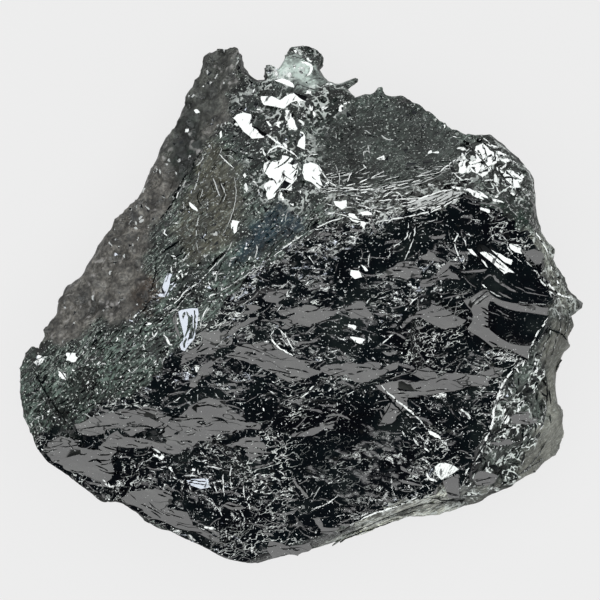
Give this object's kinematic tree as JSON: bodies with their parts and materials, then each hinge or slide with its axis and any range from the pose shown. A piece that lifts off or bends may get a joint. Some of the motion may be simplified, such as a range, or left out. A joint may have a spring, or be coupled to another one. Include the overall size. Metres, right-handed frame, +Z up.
{
  "type": "black tourmaline specimen",
  "caption": "Rough black tourmaline chunk: glassy conchoidal fracture on its face, a dull grey-brown natural rim, and a flat side to lie on.",
  "frame": {"origin": "on the flat resting face, under the middle of the stone", "axes": "+Z up, away from the resting face and out of the glassy fracture face; +X along the stone's longest side in plan; +Y towards the pointed end"},
  "size_m": [0.028, 0.0259, 0.0139],
  "materials": {
    "tourmaline": "opaque black, glassy on fresh fracture, satin green-black on the back slope and dull grey-brown on the natural rim"
  },
  "bodies": {
    "root": {"tourmaline_chunk": "tourmaline"}
  },
  "joints": []
}
